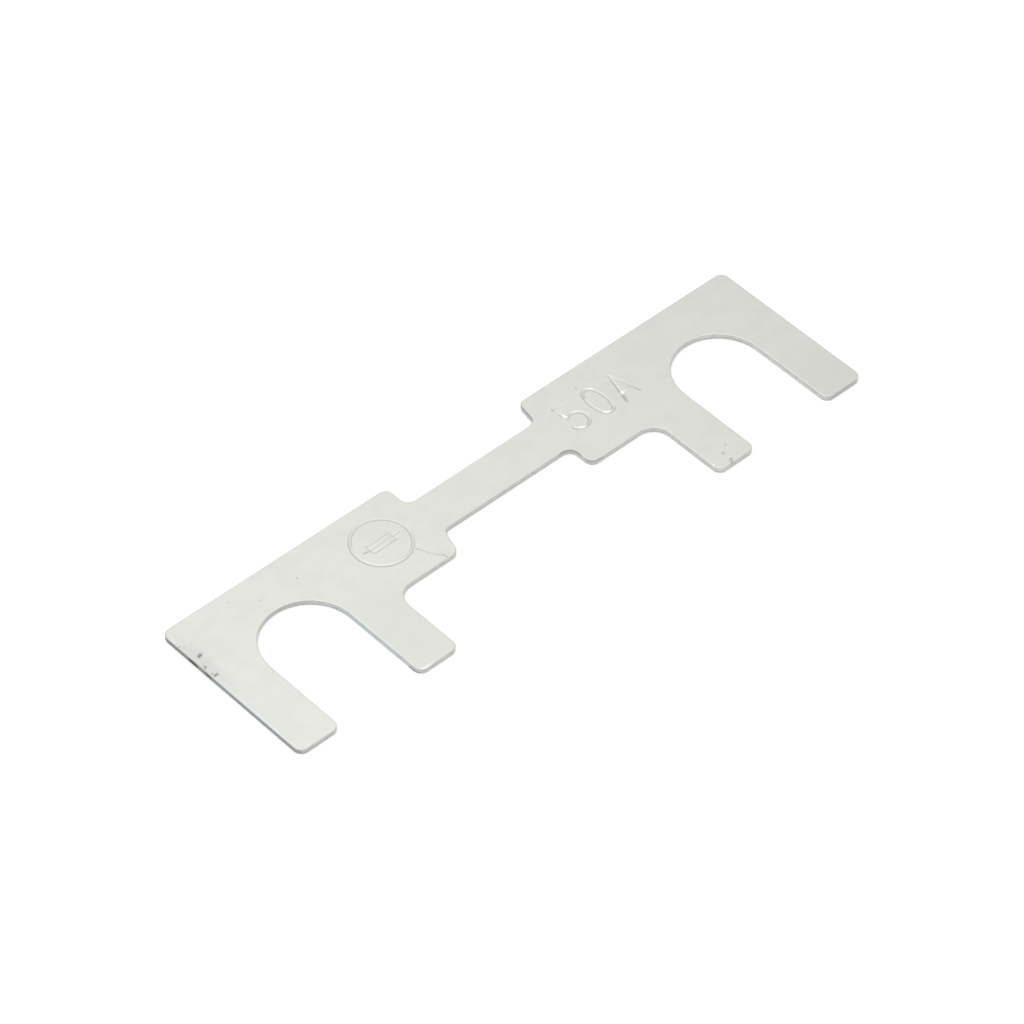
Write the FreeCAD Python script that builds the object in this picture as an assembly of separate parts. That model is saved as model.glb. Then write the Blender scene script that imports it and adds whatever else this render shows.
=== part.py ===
import FreeCAD, Part
import os
from math import cos, tan

# Bolt down strip fuse: one flat strip, blanked from zinc sheet in a single stroke.
# A fork at each end slides under a terminal bolt that is only loosened, not taken out,
# and the narrow link between the two bodies is the part that melts on overload.
#
# Frame: X runs along the strip, the prongs point to -Y and the straight back edge faces +Y.
# The strip lies flat, with its underside at Z = 0 and its rolled, marked face up.
# The origin is the middle of the strip's box, on the underside. All sizes are in millimetres.

# Sheet
thickness = 0.35

# Bolt slots, open at the prong tips and round at their closed end
bolt_spacing = 30.0
bolt_diameter = 5.0
bolt_clearance = 0.5
tip_to_bolt = 5.5

# Metal left round each slot: the two prongs beside it and the web behind it
prong_width = 2.75
web_width = 2.75

# The bodies carry the marks and end at the link, which is centred on their width
body_width = 6.0
link_length = 9.5
link_width = 2.65

# Shoulders where a body steps down to the link: two are square and two lean out towards the body
front_left_lean = 0.5
back_right_lean = 0.28

# Rounding of the outline, seen from above
corner_radius = 0.5
notch_radius = 1.1
link_root_radius = 0.55

# Section of the blanked edge: rolled where the punch entered, a slight break where the burr was
rolled_edge_radius = 0.06
burr_break = 0.03

# Share of a straight run that the roundings at its two ends may take up together
rounded_share = 0.95

# Places along X, on the right half of the strip
slot_width = bolt_diameter + bolt_clearance
slot_radius = slot_width / 2
bolt_x = bolt_spacing / 2
slot_inner_x = bolt_x - slot_radius
slot_outer_x = bolt_x + slot_radius
fork_inner_x = slot_inner_x - prong_width
fork_outer_x = slot_outer_x + prong_width
link_end_x = link_length / 2

# Places along Y
overall_width = tip_to_bolt + slot_radius + web_width
back_y = overall_width / 2
tip_y = -overall_width / 2
bolt_y = tip_y + tip_to_bolt
body_front_y = back_y - body_width
link_front_y = back_y - (body_width + link_width) / 2
link_back_y = link_front_y + link_width


def mirrored(corners):
    """The same corners on the left half, in the order that carries the path on."""
    return [(-x, y, radius) for x, y, radius in reversed(corners)]


def limited_radii(radii, turns, runs):
    """The radii of the roundings, smaller only where two of them would fill the run between them."""
    reaches = [0] + [radius * tan(turn / 2) for radius, turn in zip(radii, turns)] + [0]
    shares = [1.0] * len(reaches)
    for i, run in enumerate(runs):
        wanted = reaches[i] + reaches[i + 1]
        if wanted > rounded_share * run.Length:
            fit = rounded_share * run.Length / wanted
            shares[i] = min(shares[i], fit)
            shares[i + 1] = min(shares[i + 1], fit)
    return [radius * share for radius, share in zip(radii, shares[1:-1])]


def rounded_path(corners):
    """Straight runs through the corners, each corner rounded by a tangent arc."""
    points = [FreeCAD.Vector(x, y, 0) for x, y, radius in corners]
    runs = [end - begin for begin, end in zip(points, points[1:])]
    turns = [before.getAngle(after) for before, after in zip(runs, runs[1:])]
    radii = limited_radii([radius for x, y, radius in corners[1:-1]], turns, runs)
    edges = []
    start = points[0]
    for i, (radius, turn) in enumerate(zip(radii, turns), start=1):
        towards = FreeCAD.Vector(runs[i - 1]).normalize()
        away = FreeCAD.Vector(runs[i]).normalize()
        reach = radius * tan(turn / 2)
        arc_start = points[i] - towards * reach
        arc_end = points[i] + away * reach
        inset = radius / cos(turn / 2) - radius
        arc_middle = points[i] + (away - towards).normalize() * inset
        edges.append(Part.LineSegment(start, arc_start).toShape())
        edges.append(Part.Arc(arc_start, arc_middle, arc_end).toShape())
        start = arc_end
    edges.append(Part.LineSegment(start, points[-1]).toShape())
    return edges


def slot_end(centre_x):
    """The half circle that closes a slot, from its left wall over to its right wall."""
    left = FreeCAD.Vector(centre_x - slot_radius, bolt_y, 0)
    top = FreeCAD.Vector(centre_x, bolt_y + slot_radius, 0)
    right = FreeCAD.Vector(centre_x + slot_radius, bolt_y, 0)
    return Part.Arc(left, top, right).toShape()


def right_half(front_lean, back_lean):
    """Corners from the link round the body and fork, before the slot's round end and after it."""
    link_to_slot = [
        (link_end_x - front_lean / 2, link_front_y, link_root_radius),
        (link_end_x + front_lean / 2, body_front_y, corner_radius),
        (fork_inner_x, body_front_y, notch_radius),
        (fork_inner_x, tip_y, corner_radius),
        (slot_inner_x, tip_y, corner_radius),
        (slot_inner_x, bolt_y, 0),
    ]
    slot_to_link = [
        (slot_outer_x, bolt_y, 0),
        (slot_outer_x, tip_y, corner_radius),
        (fork_outer_x, tip_y, corner_radius),
        (fork_outer_x, back_y, corner_radius),
        (link_end_x + back_lean / 2, back_y, corner_radius),
        (link_end_x - back_lean / 2, link_back_y, link_root_radius),
    ]
    return link_to_slot, slot_to_link


def outline():
    """The closed outline of the blank, run round with the metal on its left."""
    left_front, left_back = right_half(front_left_lean, 0)
    right_front, right_back = right_half(0, back_right_lean)
    front = rounded_path(mirrored(left_front) + right_front)
    back = rounded_path(right_back + mirrored(left_back))
    return Part.Wire(front + [slot_end(bolt_x)] + back + [slot_end(-bolt_x)])


def rim(solid, height):
    """The edges that lie all along one face of the sheet."""
    level = [edge for edge in solid.Edges if edge.BoundBox.ZLength < burr_break / 2]
    return [edge for edge in level if abs(edge.BoundBox.Center.z - height) < burr_break / 2]


def fuse_strip():
    """The blank, with its upper rim rolled over and its lower rim lightly broken."""
    blank = Part.Face(outline()).extrude(FreeCAD.Vector(0, 0, thickness))
    rolled = blank.makeFillet(rolled_edge_radius, rim(blank, thickness))
    return rolled.makeChamfer(burr_break, rim(rolled, 0))


strip = fuse_strip()
os.makedirs("parts", exist_ok=True)
strip.exportStep("parts/fuse_strip.step")

box = strip.optimalBoundingBox(False, False)
print("length %.3f, width %.3f, thickness %.3f mm" % (box.XLength, box.YLength, box.ZLength))
print("solids %d, valid %s, volume %.3f mm3" % (len(strip.Solids), strip.isValid(), strip.Volume))
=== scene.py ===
# %% [markdown]
# # A bolt down strip fuse, from the imported blank to a finished picture
#
# The real thing is one flat strip, blanked from bright zinc sheet 0.35 mm thick.
# A fork at each end goes under a terminal bolt, and the narrow link between the
# two bodies melts when too much current flows.
#
# The blank comes from the CAD model, true to size. What this file adds is what
# happened to the metal: the marks struck into its face, the nick, dents and dirt of
# handling, and the finish of the flat face, the rolled edge and the sheared walls.
# Some highlights, glints and shade are painted into that finish as colour.

import math

import bmesh
import bpy
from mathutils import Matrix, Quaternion, Vector


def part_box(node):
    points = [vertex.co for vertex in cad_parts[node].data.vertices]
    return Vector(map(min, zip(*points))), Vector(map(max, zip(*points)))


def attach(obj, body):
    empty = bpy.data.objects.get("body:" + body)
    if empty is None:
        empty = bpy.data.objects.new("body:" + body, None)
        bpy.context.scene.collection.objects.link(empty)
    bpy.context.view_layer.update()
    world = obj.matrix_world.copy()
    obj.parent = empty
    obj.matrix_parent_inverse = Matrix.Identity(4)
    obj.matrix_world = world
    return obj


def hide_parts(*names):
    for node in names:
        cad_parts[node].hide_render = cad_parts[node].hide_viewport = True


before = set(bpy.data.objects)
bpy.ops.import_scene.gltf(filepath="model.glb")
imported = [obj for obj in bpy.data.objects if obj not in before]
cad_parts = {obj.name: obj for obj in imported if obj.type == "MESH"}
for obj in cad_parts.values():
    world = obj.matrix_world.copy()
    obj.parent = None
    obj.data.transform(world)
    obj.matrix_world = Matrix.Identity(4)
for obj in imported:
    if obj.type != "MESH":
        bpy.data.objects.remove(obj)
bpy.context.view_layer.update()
print("CAD nodes:", sorted(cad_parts))

# %% [markdown]
# ## Sizes
#
# Blender works in metres, in the same frame as the CAD: X runs along the strip,
# the prongs point to -Y, and the underside lies at Z = 0. The marks are given in
# millimetres, as a toolmaker would draw them, so one number turns those into
# metres. Everything that depends on the blank is read from its box.

# %% Units and the blank's own box
MM = 0.001
blank_low, blank_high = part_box("fuse_strip")
face_z = blank_high.z
print("blank %.2f x %.2f x %.2f mm" % tuple((blank_high - blank_low) / MM))


def on_face(x, y, rise=0.0):
    """The point at x, y on the marked face, or that far above it, from millimetres to metres."""
    return Vector((x * MM, y * MM, face_z + rise * MM))


# %% [markdown]
# ## The camera
#
# The photograph looks down on the strip from beyond its left fork, and from fairly
# far away, so that the far fork is hardly smaller than the near one. A long lens
# gives that flat perspective. The camera's place was found by fitting a perspective
# view to the outline, and its small roll is the photographer's.

# %% Camera
camera_place = Vector((-127.59, -129.53, 191.33)) * MM
camera_target = Vector((-0.698, -0.045, 0.0)) * MM
camera_roll = math.radians(2.057)
camera_lens = 173.37
camera_sensor = 36.0
nearest_seen = 10 * MM

bpy.ops.object.camera_add(location=camera_place)
camera = bpy.context.object
look = (camera_target - camera_place).to_track_quat("-Z", "Y")
camera.rotation_euler = (look @ Quaternion((0, 0, 1), camera_roll)).to_euler()
camera.data.lens = camera_lens
camera.data.sensor_width = camera_sensor
camera.data.clip_start = nearest_seen
bpy.context.scene.camera = camera
print("camera stands %.0f mm from the strip" % ((camera_place - camera_target).length / MM))

# %% [markdown]
# ## Shader arithmetic
#
# A node tree is easier to read as a sum. This small class wraps one socket, so that
# an expression such as `1 - mask * 0.3` adds the Math nodes for it. Every other
# node comes from `node`, which takes a type, its settings, and then the values or
# links of its sockets by their number or name.

# %% A socket that can be calculated with
class Signal:
    def __init__(self, tree, socket=None):
        self.tree = tree
        self.socket = socket

    def node(self, kind, settings, inputs, output=0):
        made = self.tree.nodes.new(kind)
        for name, value in settings.items():
            setattr(made, name, value)
        for key, value in inputs.items():
            if isinstance(value, Signal):
                self.tree.links.new(value.socket, made.inputs[key])
            else:
                made.inputs[key].default_value = value
        return Signal(self.tree, made.outputs[output])

    def math(self, operation, first, second):
        return self.node("ShaderNodeMath", {"operation": operation}, {0: first, 1: second})

    def __add__(self, other):
        return self.math("ADD", self, other)

    __radd__ = __add__

    def __sub__(self, other):
        return self.math("SUBTRACT", self, other)

    def __rsub__(self, other):
        return self.math("SUBTRACT", other, self)

    def __mul__(self, other):
        return self.math("MULTIPLY", self, other)

    __rmul__ = __mul__

    def or_more(self, other):
        return self.math("MAXIMUM", self, other)

    def size(self):
        """The number without its sign."""
        return self.math("ABSOLUTE", self, 0.0)

    def rising(self, low, high):
        """0 below low, 1 above high, and smooth in between. With low above high it falls."""
        inputs = {"Value": self, "From Min": low, "From Max": high}
        return self.node("ShaderNodeMapRange", {"interpolation_type": "SMOOTHSTEP"}, inputs)

    def rising_evenly(self, low, high):
        """0 below low, 1 above high, and a straight slope in between."""
        return self.node("ShaderNodeMapRange", {}, {"Value": self, "From Min": low, "From Max": high})

    def constant(self, value):
        return self.node("ShaderNodeMath", {"operation": "ADD"}, {0: value, 1: 0.0})

    def math_vector(self, operation, other, output=0):
        return self.node("ShaderNodeVectorMath", {"operation": operation}, {0: self, 1: other}, output)

    def times(self, x, y, z):
        """The vector with each axis multiplied by its own number."""
        return self.math_vector("MULTIPLY", (x, y, z))

    def turned(self, angle):
        """The vector turned about Z."""
        settings = {"rotation_type": "Z_AXIS"}
        return self.node("ShaderNodeVectorRotate", settings, {"Vector": self, "Angle": angle})

    def distance(self, x, y, z):
        """How far the vector is from a point."""
        return self.math_vector("DISTANCE", (x, y, z), "Value")

    def along(self, axis):
        return self.node("ShaderNodeSeparateXYZ", {}, {0: self}, axis)

    def noise(self, scale, detail=2.0):
        inputs = {"Vector": self, "Scale": scale, "Detail": detail}
        return self.node("ShaderNodeTexNoise", {}, inputs)

    def blend(self, first, second):
        """The first colour where the signal is 0 and the second where it is 1."""
        return self.node("ShaderNodeMix", {"data_type": "RGBA"}, {0: self, 6: first, 7: second}, 2)


def new_material(name):
    """An empty material: itself, a signal to start expressions from, and its output node."""
    material = bpy.data.materials.new(name)
    material.use_nodes = True
    tree = material.node_tree
    tree.nodes.clear()
    return material, Signal(tree), tree.nodes.new("ShaderNodeOutputMaterial")


def finish_material(start, output, shader):
    start.tree.links.new(shader.socket, output.inputs["Surface"])


print("shader helpers: Signal, new_material, finish_material")

# %% [markdown]
# ## The stage
#
# Bright metal has hardly any colour of its own: it shows its surroundings. So the
# light is built as for a product photograph, with one wide softbox overhead and a
# plain pale room around it. The flat face mirrors a place close to the softbox's
# edge. That gives it its slow fall from the left fork to the right one, makes a
# surface that tilts to the camera brighter, and one that tilts any other way darker.

# %% Room and softbox
room_level = 0.71
softbox_level = 0.60
softbox_width, softbox_depth = 0.93, 0.79
softbox_place = Vector((-0.14, 0.07, 0.50))
softbox_turn = math.radians(-8.4)

room = bpy.data.worlds.new("pale_room")
room.use_nodes = True
room_air = room.node_tree.nodes["Background"]
room_air.inputs["Color"].default_value = (1.0, 1.0, 1.0, 1.0)
room_air.inputs["Strength"].default_value = room_level
bpy.context.scene.world = room

bpy.ops.object.light_add(type="AREA", location=softbox_place, rotation=(0, 0, softbox_turn))
softbox = bpy.context.object
softbox.name = "softbox"
softbox.data.shape = "RECTANGLE"
softbox.data.size = softbox_width
softbox.data.size_y = softbox_depth
softbox.data.energy = softbox_level * math.pi * softbox_width * softbox_depth
bpy.context.scene.view_settings.view_transform = "Standard"
print("softbox gives %.1f W" % softbox.data.energy)

# %% [markdown]
# The floor is white paper. Where the camera or a reflection looks at it, it gets a
# little light of its own on top, so that it reaches pure white and still keeps the
# strip's soft shadow. The soft light that the floor throws back isn't changed by that.

# %% Floor
floor_side = 4.0
floor_drop = 0.01 * MM
floor_white = 0.92
floor_lift = 0.28

bpy.ops.mesh.primitive_plane_add(size=floor_side, location=(0, 0, -floor_drop))
floor = bpy.context.object
floor.name = "floor"

paper, start, output = new_material("white_paper")
seen = start.node("ShaderNodeLightPath", {}, {}, "Is Camera Ray")
mirrored = start.node("ShaderNodeLightPath", {}, {}, "Is Glossy Ray")
passed = start.node("ShaderNodeLightPath", {}, {}, "Is Transmission Ray")
lift = (seen + mirrored + passed) * floor_lift
matt = start.node("ShaderNodeBsdfDiffuse", {}, {"Color": (floor_white,) * 3 + (1.0,)})
glow = start.node("ShaderNodeEmission", {}, {"Strength": lift})
finish_material(start, output, start.node("ShaderNodeAddShader", {}, {0: matt, 1: glow}))
floor.data.materials.append(paper)
print("floor of %.0f m" % floor_side)

# %% [markdown]
# ## Working by hand
#
# The operators of edit mode act on all that is selected, and loading the frame has
# left the blank selected. These helpers select one object only, or the faces of an
# object that a test picks by their place.

# %% Selecting
def only(piece):
    """Selects one object, active and alone."""
    bpy.ops.object.select_all(action="DESELECT")
    piece.select_set(True)
    bpy.context.view_layer.objects.active = piece


def select_faces(piece, wanted):
    """In edit mode, selects exactly the faces for which the test is true, and counts them."""
    mesh = bmesh.from_edit_mesh(piece.data)
    for face in mesh.faces:
        face.select_set(False)
    chosen = [face for face in mesh.faces if wanted(face)]
    for face in chosen:
        face.select_set(True)
    bmesh.update_edit_mesh(piece.data)
    return len(chosen)


def apply_place(piece):
    """Moves the object's place into its mesh, so that the object itself sits at the origin."""
    only(piece)
    bpy.ops.object.transform_apply(location=True, rotation=True, scale=True)


print("selection helpers: only, select_faces, apply_place")

# %% [markdown]
# ## The blank
#
# The strip that shows is a copy of the CAD mesh, because the CAD node itself is
# never changed. That mesh comes as loose triangles with normals of their own. Its
# corners are merged and those normals dropped, which leaves one closed skin to cut.

# %% Copy the blank and close its skin
merge_distance = 0.001 * MM

cad_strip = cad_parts["fuse_strip"]
strip = bpy.data.objects.new("marked_strip", cad_strip.data.copy())
bpy.context.scene.collection.objects.link(strip)
strip.data.materials.clear()
only(strip)
bpy.ops.object.mode_set(mode="EDIT")
bpy.ops.mesh.select_all(action="SELECT")
bpy.ops.mesh.remove_doubles(threshold=merge_distance)
bpy.ops.object.mode_set(mode="OBJECT")
if strip.data.has_custom_normals:
    bpy.ops.mesh.customdata_custom_splitnormals_clear()
print("blank: %d corners from %d" % (len(strip.data.vertices), len(cad_strip.data.vertices)))

# %% [markdown]
# ## Struck marks
#
# A marking punch leaves a shallow groove with a round floor. Its section is a piece
# of a circle: from the groove's width and depth follow the circle's radius and how
# far its centre lies above the face. So every stroke can be cut with a round bar.
#
# A bar with round ends starts as a sphere whose poles lie along the stroke. Its
# front half is pulled to the stroke's end for a straight bar, or spun round a centre
# for a curved one, and the faces between stretch into the bar.

# %% Bars that cut a groove
bar_sides = 48
bar_rings = 15
arc_step = math.radians(6.0)


def groove_radius(width, depth):
    return (width**2 / 4 + depth**2) / (2 * depth)


def groove_rise(width, depth):
    return groove_radius(width, depth) - depth


def round_end(place, direction, radius):
    """A sphere with its poles along the direction, in edit mode with its front half selected."""
    turn = direction.to_track_quat("Z", "Y").to_euler()
    bpy.ops.mesh.primitive_uv_sphere_add(
        segments=bar_sides, ring_count=bar_rings, radius=radius, location=place, rotation=turn
    )
    bar = bpy.context.object
    bpy.ops.object.mode_set(mode="EDIT")
    select_faces(bar, lambda face: all(corner.co.z > 0 for corner in face.verts))
    return bar


def straight_bar(begin, end, width, depth, begin_share=1.0):
    """Cutter for a straight groove between two points of the face, given in millimetres.

    The depth is that at its end. The begin may have only a share of it."""
    rise = groove_rise(width, depth)
    first = on_face(*begin, rise + depth * (1 - begin_share))
    last = on_face(*end, rise)
    bar = round_end(first, last - first, groove_radius(width, depth) * MM)
    bpy.ops.transform.translate(value=last - first)
    bpy.ops.object.mode_set(mode="OBJECT")
    apply_place(bar)
    return bar


def curved_bar(centre, radius, begin, end, width, depth):
    """Cutter for a groove on a circle, from one angle to a smaller or larger one, in degrees."""
    rise = groove_rise(width, depth)
    middle = on_face(*centre, rise)
    first, sweep = math.radians(begin), math.radians(end - begin)
    outward = Vector((math.cos(first), math.sin(first), 0))
    forward = Vector((-outward.y, outward.x, 0)) * math.copysign(1, sweep)
    bar = round_end(middle + outward * radius * MM, forward, groove_radius(width, depth) * MM)
    steps = math.ceil(abs(sweep) / arc_step)
    bpy.ops.mesh.spin(steps=steps, angle=-sweep, center=middle, axis=(0, 0, 1))
    bpy.ops.object.mode_set(mode="OBJECT")
    apply_place(bar)
    return bar


cutters = []
print("a bar has %d sides and %d rings" % (bar_sides, bar_rings))

# %% [markdown]
# ## The rating
#
# The right body carries the rated current. The strokes are plain round-ended ones,
# as a hand punch leaves them, and they aren't all struck equally deep: the flag of
# the first numeral hardly shows, and its stem sinks in towards a deep foot. A second
# deep spot lies where the letter's crossbar meets its left leg. The second numeral is
# an oval of four arcs that meet without a kink: two long flat ones for its sides, and
# a tighter one at each end.

# %% Cutters of the rating
stroke_width = 0.23
deep, medium, faint = 0.028, 0.016, 0.008
spot_width, spot_depth = 0.20, 0.040
stem_start_share, right_leg_start_share = 0.15, 0.7

five_corner, five_flag_end, five_turn = (5.95, 3.84), (6.92, 3.80), (6.03, 3.00)
five_foot = (6.00, 3.08), (6.07, 2.98)
bowl_centre, bowl_radius, bowl_start, bowl_end = (6.45, 2.36), 0.62, 126, -155
cutters.append(straight_bar(five_flag_end, five_corner, stroke_width, faint))
cutters.append(straight_bar(five_corner, five_turn, stroke_width, medium, stem_start_share))
cutters.append(straight_bar(*five_foot, spot_width, spot_depth))
cutters.append(curved_bar(bowl_centre, bowl_radius, bowl_start, bowl_end, stroke_width, deep))

zero_centre, zero_half_width, zero_half_height, end_radius = (8.26, 2.72), 0.53, 1.06, 0.40
end_offset = zero_half_height - end_radius
side_radius = (end_offset**2 + zero_half_width**2 - end_radius**2) / (2 * (zero_half_width - end_radius))
side_offset = side_radius - zero_half_width
join = math.degrees(math.atan2(end_offset, side_offset))
for turn in (0, 180):
    away = math.cos(math.radians(turn))
    side_centre = (zero_centre[0] - away * side_offset, zero_centre[1])
    end_centre = (zero_centre[0], zero_centre[1] + away * end_offset)
    cutters.append(
        curved_bar(side_centre, side_radius, turn - join, turn + join, stroke_width, medium)
    )
    cutters.append(
        curved_bar(end_centre, end_radius, turn + join, turn + 180 - join, stroke_width, deep)
    )

apex, left_foot, right_foot = (10.04, 3.72), (9.46, 1.70), (10.62, 1.84)
crossbar, crossbar_spot = ((10.44, 2.30), (9.64, 2.30)), ((9.70, 2.27), (9.62, 2.24))
cutters.append(straight_bar(apex, left_foot, stroke_width, medium))
cutters.append(straight_bar(apex, right_foot, stroke_width, medium, right_leg_start_share))
cutters.append(straight_bar(*crossbar, stroke_width, faint))
cutters.append(straight_bar(*crossbar_spot, spot_width, spot_depth))
print("rating: %d cuts, deepest radius %.2f mm" % (len(cutters), groove_radius(stroke_width, deep)))

# %% [markdown]
# ## The ring and its sign
#
# The left body carries a struck ring. It is a torus, sunk so that only its lowest
# part reaches the metal, and tilted a little, because the punch stood uneven: the
# groove is deepest at the lower left. Inside it goes the general circuit-diagram
# sign for a fuse, a long box with the conductor running through it.

# %% Cutters of the ring
ring_centre, ring_radius = (-7.62, 2.69), 1.69
ring_width, ring_depth = 0.21, 0.018
ring_tilt = math.radians(0.12)
ring_steps = 120

bpy.ops.mesh.primitive_torus_add(
    location=on_face(*ring_centre, groove_rise(ring_width, ring_depth)),
    rotation=(ring_tilt, -ring_tilt, 0),
    major_segments=ring_steps,
    minor_segments=bar_sides,
    major_radius=ring_radius * MM,
    minor_radius=groove_radius(ring_width, ring_depth) * MM,
)
ring = bpy.context.object
apply_place(ring)
cutters.append(ring)

sign_width, sign_depth = 0.15, 0.016
box_half_length, box_half_height, conductor_half_length = 0.80, 0.32, 1.22
x, y = ring_centre
left, right = x - box_half_length, x + box_half_length
low, high = y - box_half_height, y + box_half_height
corners = [(left, low), (right, low), (right, high), (left, high)]
for begin, end in zip(corners, corners[1:] + corners[:1]):
    cutters.append(straight_bar(begin, end, sign_width, sign_depth))
ends = (x - conductor_half_length, y), (x + conductor_half_length, y)
cutters.append(straight_bar(*ends, sign_width, sign_depth))
print("cutters so far: %d" % len(cutters))

# %% [markdown]
# ## Handling marks
#
# The strip has knocked about in a bin with others. A hairline runs from the ring to
# the corner of its body, the tip of one prong has a nick, and small dents lie here
# and there, most of them beside the left end. The hairline is a chain of very thin
# bars. A dent is cut with a pebble: a ball pressed flat, turned, and roughened by
# moving its points at random with a fixed seed.

# %% Cutters of the hairline, the nick and the dents
hairline = [(-6.56, 1.18), (-6.38, 0.80), (-6.15, 0.28), (-5.96, 0.06), (-5.79, -0.14), (-5.70, -0.40)]
hairline_width, hairline_depth = 0.06, 0.006
for begin, end in zip(hairline, hairline[1:]):
    cutters.append(straight_bar(begin, end, hairline_width, hairline_depth))

nick_begin, nick_end = (10.38, -5.62), (10.60, -5.23)
nick_width, nick_depth = 0.11, 0.05
pebble_roughness = 0.12 * MM
cutters.append(straight_bar(nick_begin, nick_end, nick_width, nick_depth))


def pebble(place, length, width, depth, turn, seed):
    """Cutter for a dent of that length, width and depth in millimetres, turned in degrees."""
    bpy.ops.mesh.primitive_ico_sphere_add(subdivisions=3, radius=MM, location=on_face(*place))
    ball = bpy.context.object
    ball.scale = (length / 2, width / 2, depth)
    ball.rotation_euler = (0, 0, math.radians(turn))
    bpy.ops.object.mode_set(mode="EDIT")
    bpy.ops.mesh.select_all(action="SELECT")
    bpy.ops.transform.vertex_random(offset=pebble_roughness, normal=1.0, seed=seed)
    bpy.ops.object.mode_set(mode="OBJECT")
    apply_place(ball)
    return ball


# Each dent: place, length, width, depth, turn, and how dark the dirt in it is
dents = [
    ((-20.00, 2.98), 0.34, 0.22, 0.030, 32, 0.62),
    ((-20.25, 1.39), 0.28, 0.18, 0.024, 10, 0.50),
    ((-20.33, 2.17), 0.22, 0.15, 0.020, 70, 0.42),
    ((-20.27, 3.95), 0.18, 0.11, 0.014, 50, 0.32),
    ((-20.40, 4.14), 0.15, 0.10, 0.014, 60, 0.32),
    ((-12.66, 3.72), 0.16, 0.14, 0.010, 0, 0.28),
    ((-15.14, 3.82), 0.16, 0.13, 0.008, 0, 0.15),
    ((-16.45, 4.80), 0.14, 0.10, 0.006, 0, 0.12),
    ((5.93, 3.86), 0.20, 0.15, 0.014, 60, 0.14),
    ((8.02, 4.22), 0.22, 0.14, 0.008, 40, 0.10),
    ((10.62, -4.63), 0.24, 0.17, 0.012, 30, 0.30),
    ((11.12, -4.28), 0.20, 0.13, 0.008, 30, 0.18),
    ((9.57, -4.96), 0.18, 0.13, 0.020, 70, 0.00),
    ((-20.35, 1.58), 0.14, 0.09, 0.010, 40, 0.28),
]
for seed, (place, length, width, depth, turn, grime) in enumerate(dents):
    cutters.append(pebble(place, length, width, depth, turn, seed))
print("cutters in all: %d" % len(cutters))

# %% [markdown]
# ## Cutting
#
# Many of the cutters run into each other, as the strokes of a numeral do. So they
# are joined into one tool, and the Boolean modifier is told that the tool crosses
# itself. The exact solver then takes it all away at once and keeps the skin closed.
# Afterwards the triangles that lie in one plane are dissolved into larger faces, so
# that the flat face is made of a few large ones again.

# %% Take the cutters away from the strip
flat_angle = math.radians(0.3)

only(cutters[0])
for cutter in cutters:
    cutter.select_set(True)
bpy.ops.object.join()
tool = bpy.context.object

cutting = strip.modifiers.new("struck_and_dented", "BOOLEAN")
cutting.operation = "DIFFERENCE"
cutting.solver = "EXACT"
cutting.use_self = True
cutting.object = tool
only(strip)
bpy.ops.object.modifier_apply(modifier=cutting.name)
bpy.data.objects.remove(tool)

bpy.ops.object.mode_set(mode="EDIT")
bpy.ops.mesh.select_all(action="SELECT")
bpy.ops.mesh.dissolve_limited(angle_limit=flat_angle)
bpy.ops.object.mode_set(mode="OBJECT")
print("marked strip: %d faces" % len(strip.data.polygons))

# %% [markdown]
# ## Shading the edges
#
# The rolled rim, the slot ends and the grooves are round, so edges up to a certain
# angle are shaded smooth. The flat face must not bend with them: where it ends, at
# the rim and at every mark, its border is marked sharp. On the walls the normals
# follow the larger face wherever two differ in area, so that they stay flat up to
# the rim. Faces that are nearly the same size count alike.

# %% Smooth shading that leaves the flat face flat
soft_edge = math.radians(50.0)
same_area = 0.05 * MM**2
largest_only = 100
level_enough = 0.99999

only(strip)
bpy.ops.object.shade_smooth_by_angle(angle=soft_edge)
bpy.ops.object.mode_set(mode="EDIT")
bpy.ops.mesh.select_mode(type="FACE")
flat_faces = select_faces(strip, lambda face: face.normal.z > level_enough)
bpy.ops.mesh.region_to_loop()
bpy.ops.mesh.mark_sharp()
bpy.ops.object.mode_set(mode="OBJECT")
print("%d faces lie level and face up" % flat_faces)

weighted = strip.modifiers.new("flat_faces_stay_flat", "WEIGHTED_NORMAL")
weighted.mode = "FACE_AREA"
weighted.weight = largest_only
weighted.thresh = same_area
weighted.keep_sharp = True
bpy.ops.object.modifier_apply(modifier=weighted.name)

solid = bmesh.new()
solid.from_mesh(strip.data)
loose = sum(not edge.is_manifold for edge in solid.edges)
volume = solid.calc_volume() / MM**3
solid.free()
print("open edges %d, volume %.2f mm3" % (loose, volume))

# %% [markdown]
# ## Bright zinc
#
# Rolled zinc is a satin grey-white with a breath of yellow. All of its finish is
# worked out from the Object coordinates, turned into millimetres, so it stays on the
# metal from any side. Only base colour, roughness and a bump vary.
#
# How far the surface leans tells its parts apart: `upright` is 1 on the flat face and
# on the underside, 0 on a wall, and in between on the rolled rim. Two helpers pick
# out a place: one by how near a point is, the other by an interval along an axis.

# %% Zinc: where things are
zinc, start, output = new_material("bright_zinc")
coordinates = start.node("ShaderNodeTexCoord", {}, {}, "Object")
millimetres = coordinates.times(1 / MM, 1 / MM, 1 / MM)
lengthwise, across, height = (millimetres.along(axis) for axis in range(3))
upright = start.node("ShaderNodeTexCoord", {}, {}, "Normal").along(2).size()
rim = upright.rising(0.93, 0.75)
wall = upright.rising(0.45, 0.15)
end_x, top_z = blank_low.x / MM, face_z / MM


def near(place, level, reach, core):
    """1 up to the core distance from a place at that height, and 0 beyond its reach."""
    return millimetres.distance(*place, level).rising(reach, core)


def between(signal, low_limit, low, high, high_limit):
    """1 where the signal lies from low to high, and 0 beyond the two limits."""
    return signal.rising(low_limit, low) * signal.rising(high_limit, high)


print("left end at %.2f mm, face at %.2f mm" % (end_x, top_z))
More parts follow.
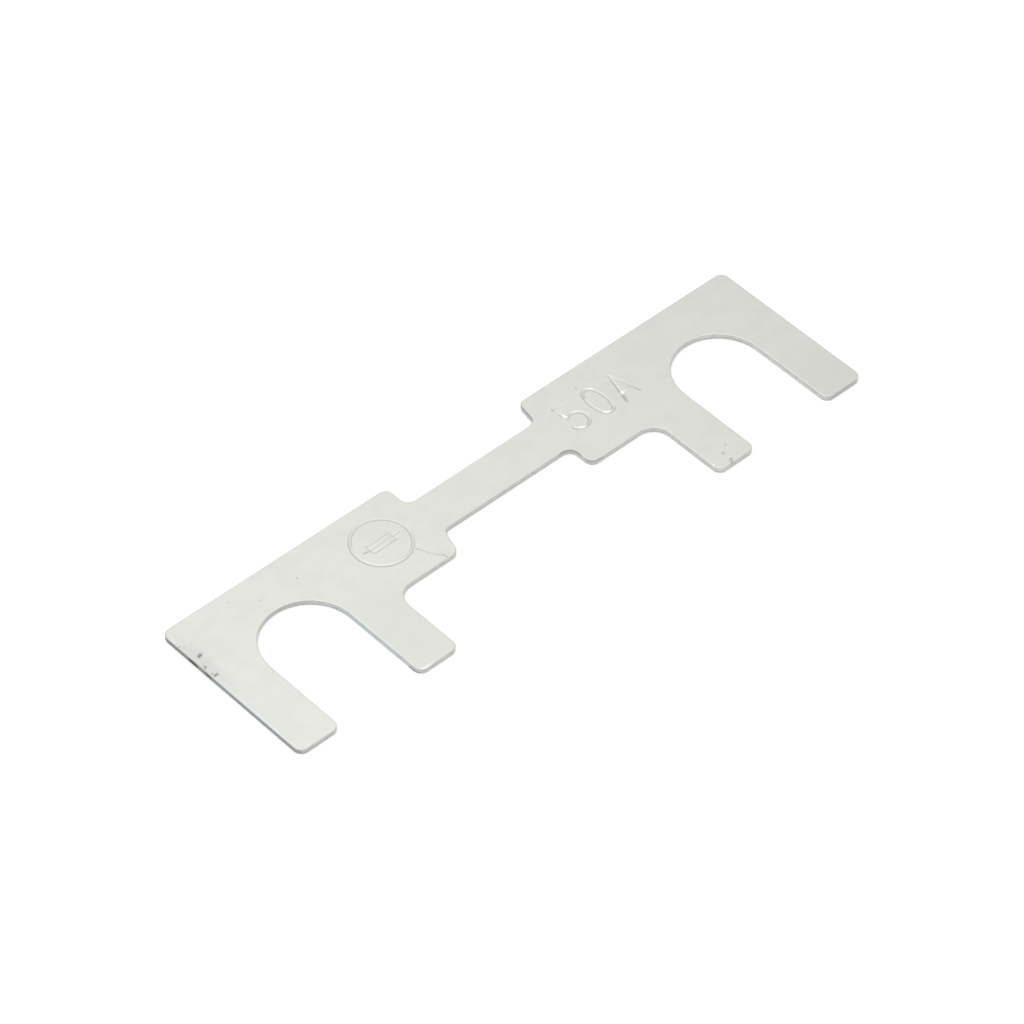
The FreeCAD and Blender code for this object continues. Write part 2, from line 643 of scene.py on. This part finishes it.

# %% [markdown]
# The flat face is smooth from the rolls, with faint lines along the strip, a little
# cloudiness, and one hazy prong on each fork. The rolled rim is a little duller. Beside
# the left end it carries a painted highlight with a cold tint, on both sides of the dirty place.

# %% Zinc: the face and its rim
face_colour = (0.752, 0.760, 0.716, 1.0)
cloud_colour = (0.724, 0.734, 0.693, 1.0)
haze_colour = (0.700, 0.708, 0.668, 1.0)
rim_colour = (0.66, 0.67, 0.64, 1.0)
rim_highlight_colour = (0.75, 0.80, 0.80, 1.0)

mottle = millimetres.noise(3.2, 4.0) - 0.5
clouds = millimetres.times(0.6, 0.9, 1.0).noise(1.1, 5.0).rising(0.40, 0.64)
clouds = clouds * 0.8 + mottle * 1.3 + 0.1
roll_lines = millimetres.times(0.25, 9.0, 9.0).noise(1.6, 3.0)
grain = millimetres.noise(16.0, 2.0)
haze = near((-10.9, -3.2), top_z, 5.0, 1.5).or_more(near((19.1, -4.2), top_z, 3.5, 1.0)) * 0.65
# Painted highlight: the rim beside the left end is lit bright in a cold tint.
painted_rim_highlight = between(across, -5.4, -3.4, 1.2, 1.9).or_more(between(across, 2.4, 3.0, 4.4, 5.0) * 0.7)
painted_rim_highlight = painted_rim_highlight * lengthwise.rising(end_x + 0.18, end_x + 0.05)

colour = clouds.blend(face_colour, cloud_colour)
colour = haze.blend(colour, haze_colour)
colour = rim.blend(colour, rim_colour)
colour = painted_rim_highlight.blend(colour, rim_highlight_colour)
print("face and rim: %d nodes" % len(zinc.node_tree.nodes))

# %% [markdown]
# The walls were sheared by the punch: their upper part is burnished and streaked
# downwards, dull in places, and below a wavy line the metal broke off grainy, lighter
# in colour, partly as a painted reflection of the white floor. The wall of the left end
# is much darker, and the straight wall of the left slot has a slate tone. Painted shade
# darkens the walls in bands here and there: close under the rim at the right body's
# shoulders, low down along the link and on the left outer prong's tip, and over the
# whole height on the right outer prong's tip.

# %% Zinc: the walls
burnished_colour = (0.58, 0.585, 0.56, 1.0)
dull_colour = (0.46, 0.465, 0.445, 1.0)
# Lighter below the break line: the broken metal, partly a painted reflection of the white floor.
broken_and_reflection_colour = (0.64, 0.645, 0.635, 1.0)
end_wall_colour = (0.33, 0.34, 0.33, 1.0)
slate_colour = (0.45, 0.52, 0.56, 1.0)

dull = millimetres.times(1.0, 1.0, 3.0).noise(1.7, 3.0).rising(0.35, 0.75)
dull = dull.or_more(near((-14.4, 2.5), 0.17, 2.4, 0.8))
break_line = millimetres.noise(2.2, 3.0) * 0.16 + 0.08
broken = (height - break_line).rising(0.02, -0.02) * wall
streaks = millimetres.times(14.0, 14.0, 1.2).noise(1.0, 2.0)
left_end = lengthwise.rising(end_x + 0.32, end_x + 0.06) * wall
slate = between(lengthwise, -12.60, -12.40, -12.00, -11.80) * between(across, -5.2, -3.4, 1.2, 2.2)

under_rim = height.rising(0.17, 0.25) * upright.rising(0.97, 0.80)
# Painted shade: darker bands on the walls under the rim, low down, and at the prong tips.
painted_wall_shade = near((4.60, 1.00), 0.25, 0.85, 0.50)
painted_wall_shade = painted_wall_shade.or_more(near((5.05, -0.40), 0.25, 0.60, 0.35) * 0.8)
painted_wall_shade = painted_wall_shade.or_more(near((4.75, 4.70), 0.25, 1.2, 0.8)) * under_rim * 0.75
painted_wall_shade = painted_wall_shade.or_more(near((19.0, -5.5), 0.15, 1.3, 0.7) * wall * 0.40)
low_down = height.rising(0.26, 0.12) * wall
painted_wall_shade = painted_wall_shade.or_more(near((-19.2, -5.5), 0.10, 1.6, 0.9) * low_down * 0.45)
link_wall = between(lengthwise, -5.0, -4.4, 4.4, 5.0) * between(across, 1.0, 1.1, 1.3, 1.4) * wall
painted_wall_shade = painted_wall_shade.or_more(link_wall * height.rising(0.20, 0.08) * 0.38)

colour = wall.blend(colour, dull.blend(burnished_colour, dull_colour))
colour = broken.blend(colour, broken_and_reflection_colour)
colour = left_end.blend(colour, end_wall_colour)
colour = (slate * wall * 0.55).blend(colour, slate_colour)
colour = painted_wall_shade.blend(colour, end_wall_colour)
print("with the walls: %d nodes" % len(zinc.node_tree.nodes))

# %% [markdown]
# Dirt sits in the dents and in the hairline. A spot of dirt has the dent's own size
# and turn: the coordinates are moved to its middle, turned and divided by its half
# sizes, and a little noise frays its border. A line of dirt follows the hairline
# from point to point. A grey bloom lies round the dents beside the left end, whose
# wall has two black patches, and a black burr hangs low in the left slot, near the
# prong's tip. A pale brown stain marks the corner where the left body meets the link.

# %% Zinc: its dirt
dirt_colour = (0.13, 0.13, 0.085, 1.0)
patch_colour = (0.045, 0.045, 0.045, 1.0)
bloom_colour = (0.60, 0.61, 0.60, 1.0)
stain_colour = (0.80, 0.76, 0.66, 1.0)
hairline_grime = (0.22, 0.25, 0.30, 0.38, 0.42)
nick_grime = 0.30
fray = millimetres.noise(10.0, 3.0) - 0.5


def spot(place, length, width, turn, border=0.5):
    """1 in the middle of a turned oval on the face and 0 outside it, with a frayed border."""
    offset = millimetres.math_vector("SUBTRACT", (*place, top_z))
    shape = offset.turned(-math.radians(turn)).times(2 / length, 2 / width, 1.0)
    return (shape.distance(0, 0, 0) + fray * 2.6).rising(1.0 + border, 1.0 - border)


def line(begin, end, width):
    """1 along a straight line on the face and 0 beside it."""
    start_point, run = Vector((*begin, top_z)), Vector((*end, top_z))
    run -= start_point
    offset = millimetres.math_vector("SUBTRACT", start_point)
    share = offset.math_vector("DOT_PRODUCT", run / run.length_squared, "Value").rising_evenly(0, 1)
    nearest = start.node("ShaderNodeVectorMath", {"operation": "SCALE"}, {0: run, "Scale": share})
    return offset.math_vector("DISTANCE", nearest, "Value").rising(width, 0.0)


dirt = start.constant(0.0)
for place, length, width, depth, turn, grime in dents:
    if grime:
        dirt = dirt.or_more(spot(place, length, width, turn) * grime)
for (begin, end), grime in zip(zip(hairline, hairline[1:]), hairline_grime):
    dirt = dirt.or_more(line(begin, end, hairline_width) * grime)
dirt = dirt.or_more(line(nick_begin, nick_end, nick_width) * nick_grime)

bloom = spot((-20.15, 2.50), 3.4, 0.7, 90, 0.8) * 0.5
patches = spot((end_x, 2.92), 0.75, 0.8, 90) * 0.85
patches = patches.or_more(spot((end_x, 1.72), 0.60, 0.8, 90) * 0.60)
patches = patches.or_more(spot((end_x, 3.20), 4.0, 1.2, 90) * 0.30)
burr = near((-12.25, -4.98), 0.06, 0.45, 0.28) * height.rising(0.17, 0.11)
patches = patches.or_more(burr * 0.72) * wall
stain = spot((-4.68, 0.96), 0.26, 0.18, 120) * (1 - wall)
print("with the dirt: %d nodes" % len(zinc.node_tree.nodes))

# %% [markdown]
# Bright places are added too. A chip at the right inner prong's tip shows bare
# metal, and the rim round the left inner prong's corner carries a painted highlight.
# Beside the left slot the rim carries a painted highlight like that of the left end.
# The flanks of the struck marks are darker: they are found by their slope, inside
# the area that the marks cover. A few places on them, in the rating, carry painted
# glints instead.

# %% Zinc: bare metal, painted highlights and glints, darker flanks
bare_metal_and_highlight_colour = (0.97, 0.97, 0.96, 1.0)
darker_flank_colour = (0.44, 0.45, 0.42, 1.0)
darker_flank_share = 0.22
glint_core = 0.1

chip_and_corner_highlight = spot((9.58, -4.97), 0.20, 0.12, 80)
# Painted highlight on the rim round the left inner prong's corner, in the chip's bright colour.
painted_corner_highlight = line((-12.00, -5.38), (-11.85, -5.43), 0.13)
painted_corner_highlight = painted_corner_highlight.or_more(line((-11.85, -5.43), (-10.9, -5.46), 0.12))
chip_and_corner_highlight = chip_and_corner_highlight.or_more(painted_corner_highlight * lengthwise.rising(-10.8, -11.8) * 0.75) * (1 - wall)
# Painted highlight on the rim beside the left slot, in the cold tint of the left end's.
painted_slot_rim_highlight = line((-12.17, -0.3), (-12.17, -3.3), 0.12) * (1 - wall) * 0.5

# Painted glints of the rating: place, how far they reach, and how bright they are
painted_glints = [
    ((8.07, 1.76), 0.36, 0.60),
    ((6.26, 1.78), 0.36, 0.60),
    ((6.08, 3.02), 0.22, 0.80),
    ((9.68, 2.26), 0.20, 0.90),
    ((8.67, 3.67), 0.34, 0.30),
    ((6.76, 3.05), 0.36, 0.30),
]
marks_along = between(lengthwise.size(), 5.5, 5.7, 11.0, 11.2)
marks_across = between(across, 0.7, 0.9, 4.7, 4.9)
flank = upright.rising(0.9998, 0.990) * marks_along * marks_across
# Painted glints on the flanks of the rating's strokes.
painted_glint = start.constant(0.0)
for place, reach, share in painted_glints:
    painted_glint = painted_glint.or_more(near(place, top_z, reach, glint_core) * share)
painted_glint = painted_glint * flank
# The flanks are darker, except under the painted glints.
darker_flank = flank * darker_flank_share * (1 - painted_glint)
print("with the bright places: %d nodes" % len(zinc.node_tree.nodes))

# %% [markdown]
# The layers are blended one over the other, dirt last, because it lies on top of
# everything. The walls, the broken metal and the dirt are rougher than the face. The
# bump is very fine: rolling lines and grain all over, stronger streaks down the walls,
# and a coarser grain where the metal broke off.

# %% Zinc: putting it together
face_roughness, burnished_roughness, broken_roughness, dirt_roughness = 0.34, 0.42, 0.62, 0.70
bump_distance = 0.004 * MM

colour = painted_slot_rim_highlight.blend(colour, rim_highlight_colour)
colour = darker_flank.blend(colour, darker_flank_colour)
colour = painted_glint.blend(colour, bare_metal_and_highlight_colour)
colour = bloom.blend(colour, bloom_colour)
colour = patches.blend(colour, patch_colour)
colour = stain.blend(colour, stain_colour)
colour = chip_and_corner_highlight.blend(colour, bare_metal_and_highlight_colour)
colour = dirt.blend(colour, dirt_colour)

roughness = (roll_lines - 0.5) * 0.10 + (grain - 0.5) * 0.06 + face_roughness
roughness = roughness + wall * (burnished_roughness - face_roughness)
roughness = roughness + broken * (broken_roughness - burnished_roughness)
roughness = roughness + dirt * (dirt_roughness - face_roughness)

relief = roll_lines * 0.4 + grain * 0.45 + streaks * wall * 1.6 + grain * broken * 2.5
bump = start.node("ShaderNodeBump", {}, {"Height": relief, "Distance": bump_distance, "Strength": 1.0})
surface = {"Base Color": colour, "Metallic": 1.0, "Roughness": roughness, "Normal": bump}
finish_material(start, output, start.node("ShaderNodeBsdfPrincipled", {}, surface))
strip.data.materials.append(zinc)
print("zinc has %d nodes" % len(zinc.node_tree.nodes))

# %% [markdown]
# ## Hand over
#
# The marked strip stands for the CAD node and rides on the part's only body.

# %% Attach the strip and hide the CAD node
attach(strip, "root")
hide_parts("fuse_strip")
